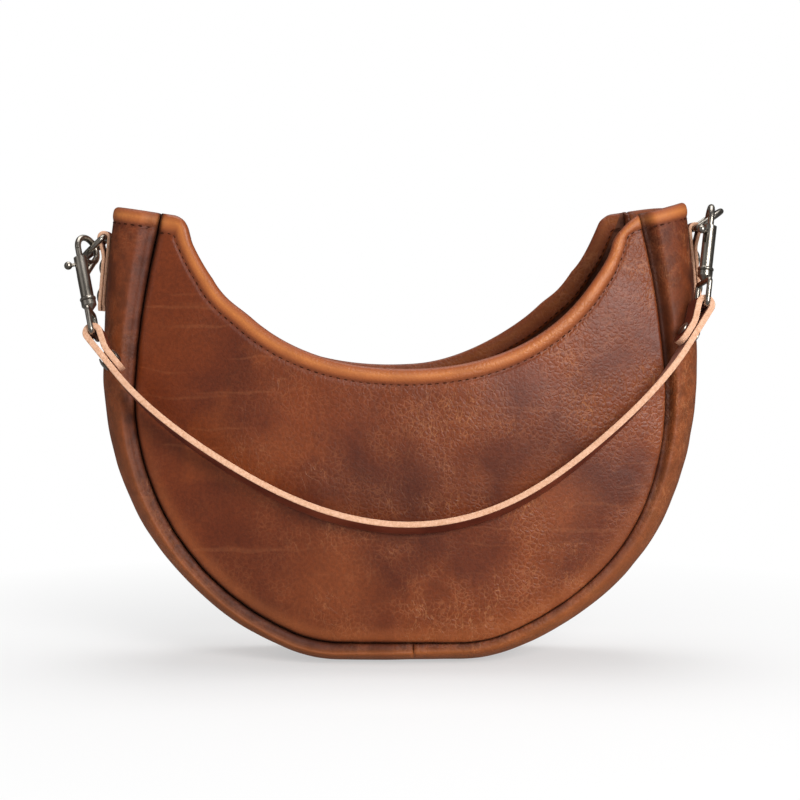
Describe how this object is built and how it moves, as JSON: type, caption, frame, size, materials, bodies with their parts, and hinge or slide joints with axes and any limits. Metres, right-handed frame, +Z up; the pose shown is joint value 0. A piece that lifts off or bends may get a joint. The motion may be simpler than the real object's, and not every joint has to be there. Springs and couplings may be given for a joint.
{
  "type": "half moon bag",
  "caption": "Crescent leather shoulder bag with an open mouth, rolled gussets, ring tabs at the horns and a short strap on swivel bolt snaps.",
  "frame": {"origin": "middle of the flat base that the bag stands on", "axes": "+X to the right as seen in the picture, +Y from the front to the back, +Z up"},
  "size_m": [0.3383, 0.0893, 0.2352],
  "materials": {
    "body_leather": "waxed full-grain brown leather with pale creases and raw tan edges",
    "strap_leather": "thick red-brown strap leather with pale raw edges",
    "dark_nickel": "antique dark nickel, polished by wear",
    "rivet_metal": "dark nickel caps",
    "spring_steel": "bright spring wire"
  },
  "bodies": {
    "bag": {"front_panel": "body_leather", "back_panel": "body_leather", "gusset_left": "body_leather", "gusset_right": "body_leather", "tab_left": "strap_leather", "tab_right": "strap_leather", "tab_rivets_left": "rivet_metal", "tab_rivets_right": "rivet_metal"},
    "ring_left": {"d_ring_left": "dark_nickel"},
    "ring_right": {"d_ring_right": "dark_nickel"},
    "strap": {"strap": "strap_leather", "strap_rivet_left": "rivet_metal", "strap_rivet_right": "rivet_metal", "swivel_eye_left": "dark_nickel", "swivel_eye_right": "dark_nickel"},
    "snap_left": {"snap_body_left": "dark_nickel", "snap_spring_left": "spring_steel"},
    "snap_right": {"snap_body_right": "dark_nickel", "snap_spring_right": "spring_steel"},
    "bolt_left": {"snap_bolt_left": "dark_nickel"},
    "bolt_right": {"snap_bolt_right": "dark_nickel"}
  },
  "joints": [
    {"name": "strap_swing", "type": "hinge", "parent": "bag", "child": "strap", "pos_m": [-0.15928, -0.00868, 0.21206], "axis": [-0.9989, 0.0002, -0.0472], "range_deg": [0, 140]},
    {"name": "ring_left_turn", "type": "hinge", "parent": "bag", "child": "ring_left", "pos_m": [-0.15276, 0, 0.21823], "axis": [0, 1, 0], "range_deg": [0, 28.99]},
    {"name": "ring_right_turn", "type": "hinge", "parent": "bag", "child": "ring_right", "pos_m": [0.15218, 0, 0.22273], "axis": [0, -1, 0], "range_deg": [0, 14.01]},
    {"name": "swivel_left", "type": "hinge", "parent": "strap", "child": "snap_left", "pos_m": [-0.1578, -0.02552, 0.18552], "axis": [-0.2177, 0.3016, 0.9282], "range_deg": [0, 10.51]},
    {"name": "swivel_right", "type": "hinge", "parent": "strap", "child": "snap_right", "pos_m": [0.15469, -0.02415, 0.20057], "axis": [0.1366, 0.2447, 0.9599], "range_deg": [-4, 4]},
    {"name": "bolt_left_slide", "type": "slide", "parent": "snap_left", "child": "bolt_left", "axis": [0.2177, -0.3016, -0.9282], "range_m": [0, 0.005], "stiffness_N_per_m": 250, "deforming": ["snap_spring_left"]},
    {"name": "bolt_right_slide", "type": "slide", "parent": "snap_right", "child": "bolt_right", "axis": [-0.1366, -0.2447, -0.9599], "range_m": [0, 0.005], "stiffness_N_per_m": 250, "deforming": ["snap_spring_right"]}
  ],
  "couplings": [
    {"joint": "ring_left_turn", "follows": "strap_swing", "ratio": 0.207},
    {"joint": "swivel_left", "follows": "strap_swing", "ratio": 0.075},
    {"joint": "ring_right_turn", "follows": "strap_swing", "ratio": 0.1}
  ]
}
